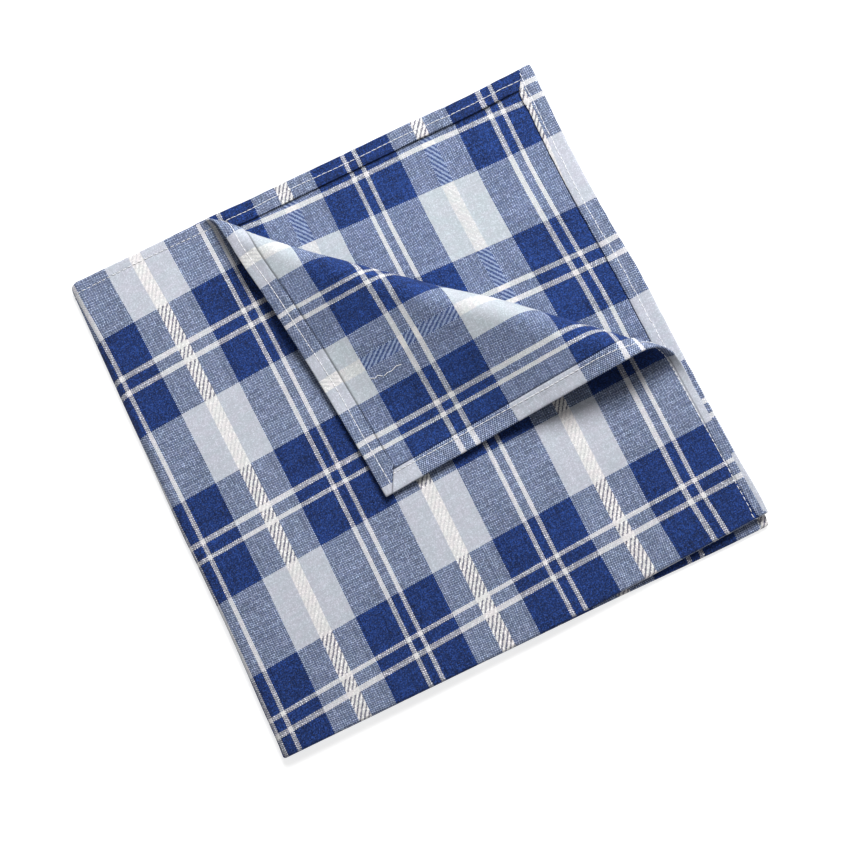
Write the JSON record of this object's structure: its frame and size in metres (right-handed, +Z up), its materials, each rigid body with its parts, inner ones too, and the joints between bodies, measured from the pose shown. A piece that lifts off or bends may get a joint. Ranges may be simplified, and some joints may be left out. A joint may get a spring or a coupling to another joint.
{
  "type": "folded handkerchief",
  "caption": "Checked cotton handkerchief with sewn hems, folded into a flat square pad, the corner of its top layer turned back over a soft diagonal roll.",
  "frame": {"origin": "on the surface it rests on, under the middle of the folded pad's box", "axes": "+Z up, away from the surface; +X along the bottom fold, away from the side fold; +Y along the side fold, away from the bottom fold"},
  "size_m": [0.2002, 0.201, 0.021],
  "materials": {
    "cloth": "matt woven cotton"
  },
  "bodies": {
    "root": {"handkerchief": "cloth"}
  },
  "joints": []
}
